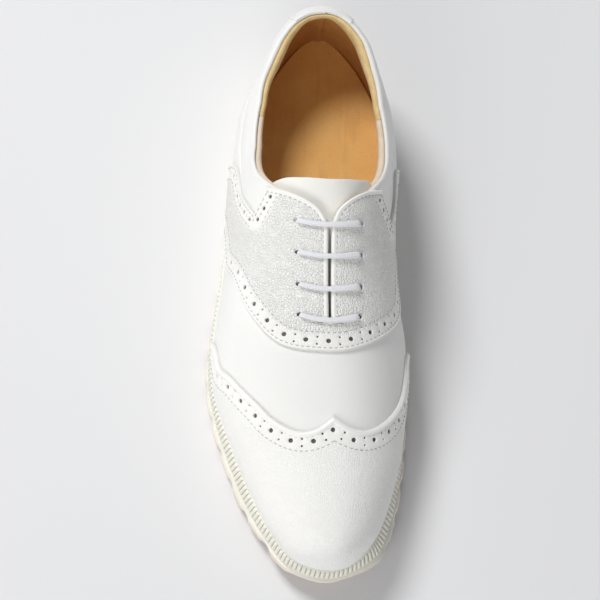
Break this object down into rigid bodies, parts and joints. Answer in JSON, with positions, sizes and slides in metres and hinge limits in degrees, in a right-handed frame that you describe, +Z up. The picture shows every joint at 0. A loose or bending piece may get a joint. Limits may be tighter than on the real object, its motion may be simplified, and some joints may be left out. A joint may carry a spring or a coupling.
{
  "type": "golf shoe",
  "caption": "Right Oxford golf shoe with a perforated wing tip and lace saddle, a ribbed moulded sole with a waved tread, and a sprung tongue",
  "frame": {"origin": "on the ground, under the middle of the shoe's overall box", "axes": "+Z up, +Y from toe to heel along the shoe, +X towards the inner (big toe) side"},
  "size_m": [0.1036, 0.297, 0.1051],
  "materials": {
    "grained_leather": "pebbled white leather, low sheen",
    "smooth_leather": "smooth white leather, soft sheen",
    "tongue_leather": "smooth cream leather",
    "tan_leather": "tan vegetable-tanned leather, matt",
    "collar_suede": "golden beige suede",
    "cream_lining": "cream lining leather",
    "lace_white": "waxed white cotton, flat weave",
    "tip_plastic": "clear white plastic",
    "sole_foam": "cream moulded foam, matt",
    "outsole_rubber": "pale pinkish beige rubber",
    "footbed_foam": "soft open foam",
    "board": "fibre board",
    "shank_steel": "sprung steel strip",
    "eyelet_brass": "thin pressed ring"
  },
  "bodies": {
    "root": {"outsole": "outsole_rubber", "midsole": "sole_foam", "sidewall_strip": "sole_foam", "shank": "shank_steel", "insole_board": "board", "footbed": "footbed_foam", "sock": "tan_leather", "toe_cap": "grained_leather", "lace_saddle": "grained_leather", "back_strap": "smooth_leather", "vamp": "smooth_leather", "quarter_lateral": "smooth_leather", "quarter_medial": "smooth_leather", "toe_puff": "board", "heel_counter": "board", "collar_foam": "footbed_foam", "collar_lining": "collar_suede", "collar_facing_lateral": "cream_lining", "collar_facing_medial": "cream_lining", "heel_lining": "tan_leather", "vamp_lining": "cream_lining", "lining_lateral": "cream_lining", "lining_medial": "cream_lining", "facing_stay_lateral": "board", "facing_stay_medial": "board", "blind_eyelets": "eyelet_brass", "lace": "lace_white", "lace_tips": "tip_plastic"},
    "tongue": {"tongue": "tongue_leather", "tongue_foam": "footbed_foam", "tongue_lining": "cream_lining"}
  },
  "joints": [
    {"name": "tongue_hinge", "type": "hinge", "parent": "root", "child": "tongue", "pos_m": [0.006, -0.036, 0.0645], "axis": [-1, 0, 0], "range_deg": [0, 12], "stiffness_Nm_per_rad": 0.3, "springref_deg": -5.73}
  ]
}
